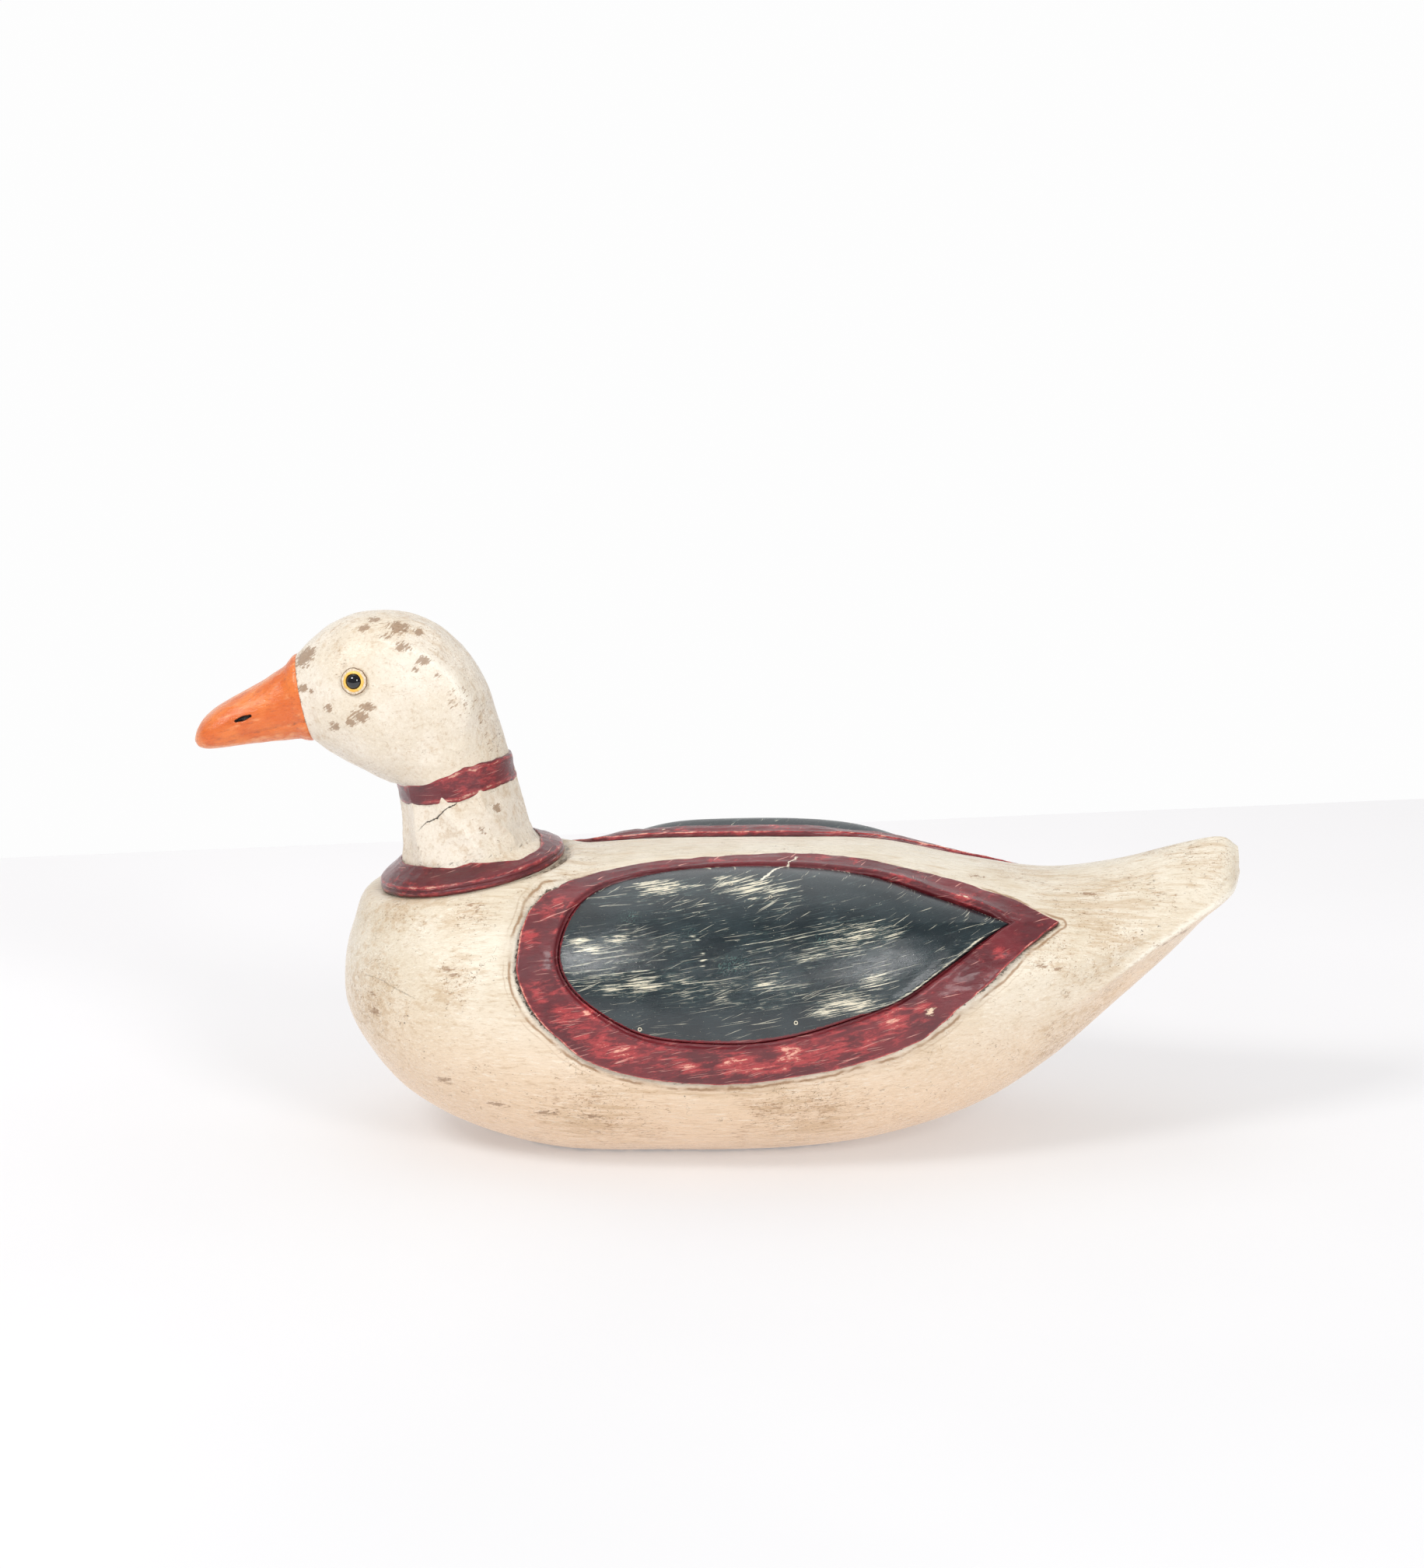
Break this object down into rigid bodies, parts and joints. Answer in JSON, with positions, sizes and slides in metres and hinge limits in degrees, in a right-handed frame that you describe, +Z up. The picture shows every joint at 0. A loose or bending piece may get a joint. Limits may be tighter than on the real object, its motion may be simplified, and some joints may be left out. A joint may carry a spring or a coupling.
{
  "type": "floating duck decoy",
  "caption": "Carved and painted wooden duck decoy with let-in wing boards, a keel weight under its flat bottom and a head that turns on a bolt through the neck.",
  "frame": {"origin": "middle of the bounding box at the height of the flat bottom", "axes": "+Z up, the bill points along -X and the tail along +X, the left wing faces -Y"},
  "size_m": [0.3798, 0.1456, 0.195],
  "materials": {
    "body_paint": "distressed cream paint over wood",
    "head_paint": "distressed cream paint over wood",
    "rim_paint": "worn crimson paint over wood",
    "panel_paint": "scratched dark teal gloss paint over wood",
    "bill_paint": "satin orange paint over wood",
    "putty": "cracked brown eye putty",
    "eye_yellow": "yellow eye ring",
    "eye_glass": "polished black bead",
    "brass": "dull brass",
    "steel": "zinc plated",
    "lead": "cast keel weight",
    "bare_wood": "unpainted plug"
  },
  "bodies": {
    "root": {"body_block": "body_paint", "head_washer": "steel", "bore_plug": "bare_wood", "ballast_weight": "lead", "ballast_screw_1": "steel", "ballast_screw_2": "steel", "line_staple": "brass", "wing_rim_left": "rim_paint", "wing_panel_left": "panel_paint", "wing_pin_left_1": "brass", "wing_pin_left_2": "brass", "wing_pin_left_3": "brass", "wing_pin_left_4": "brass", "wing_rim_right": "rim_paint", "wing_panel_right": "panel_paint", "wing_pin_right_1": "brass", "wing_pin_right_2": "brass", "wing_pin_right_3": "brass", "wing_pin_right_4": "brass"},
    "head": {"head_block": "head_paint", "neck_post": "head_paint", "neck_ring": "rim_paint", "neck_collar": "rim_paint", "bill": "bill_paint", "head_bolt": "steel", "head_nut": "steel", "eye_putty_left": "putty", "eye_ring_left": "eye_yellow", "eye_bead_left": "eye_glass", "eye_putty_right": "putty", "eye_ring_right": "eye_yellow", "eye_bead_right": "eye_glass"}
  },
  "joints": [
    {"name": "head_swivel", "type": "hinge", "parent": "root", "child": "head", "pos_m": [-0.0891, 0, 0.0984], "axis": [-0.184, 0, 0.9829], "range_deg": [-90, 90]}
  ]
}
